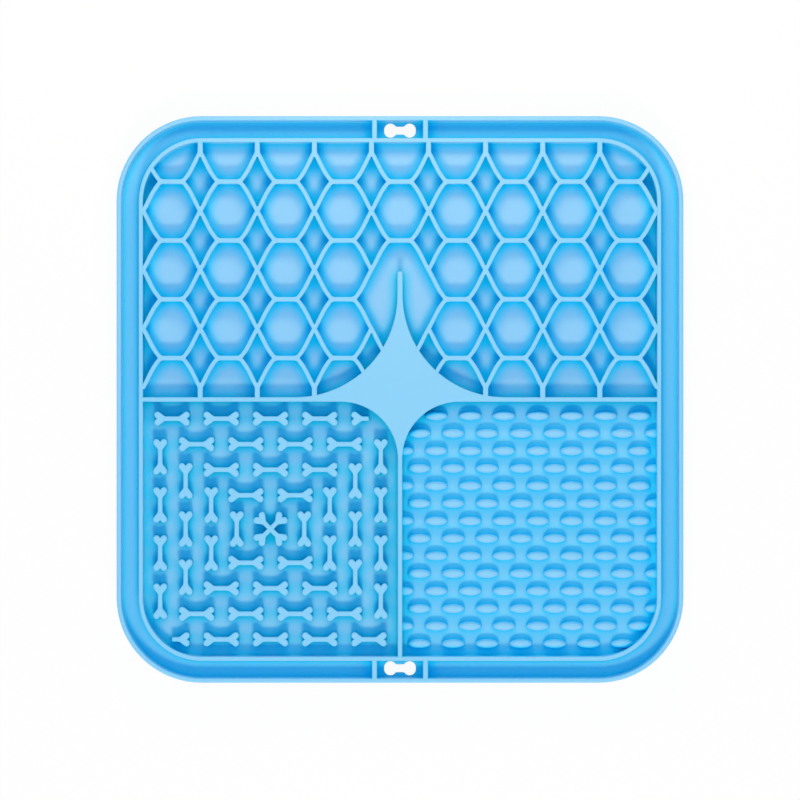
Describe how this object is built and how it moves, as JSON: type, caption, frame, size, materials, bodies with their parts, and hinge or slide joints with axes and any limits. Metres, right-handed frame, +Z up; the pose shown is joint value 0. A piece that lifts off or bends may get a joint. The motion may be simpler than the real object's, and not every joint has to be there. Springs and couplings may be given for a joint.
{
  "type": "lick mat",
  "caption": "Square soft silicone lick mat with honeycomb, bone-stud and oval-stud fields round a star, a rim gutter with bone-shaped hang holes, and suction cups below.",
  "frame": {"origin": "under the middle of the mat, on the surface that its suction cups stand on", "axes": "+Z up out of the licking side, +Y towards the honeycomb half, +X towards the oval studs"},
  "size_m": [0.2, 0.2, 0.01],
  "materials": {
    "silicone": "satin light blue silicone"
  },
  "bodies": {
    "root": {"bone_floor": "silicone", "bone_studs_across": "silicone", "bone_studs_upright": "silicone", "centre_star": "silicone", "crossed_bones": "silicone", "front_hanger_ribs": "silicone", "front_hanger_tab": "silicone", "half_bone_studs": "silicone", "honeycomb_flats": "silicone", "honeycomb_floor": "silicone", "honeycomb_slants": "silicone", "honeycomb_stems": "silicone", "inner_wall": "silicone", "left_divider": "silicone", "left_gutter_floor": "silicone", "lower_divider": "silicone", "outer_rim": "silicone", "oval_floor": "silicone", "oval_studs": "silicone", "rear_hanger_ribs": "silicone", "rear_hanger_tab": "silicone", "right_divider": "silicone", "right_gutter_floor": "silicone", "suction_cups": "silicone"}
  },
  "joints": []
}
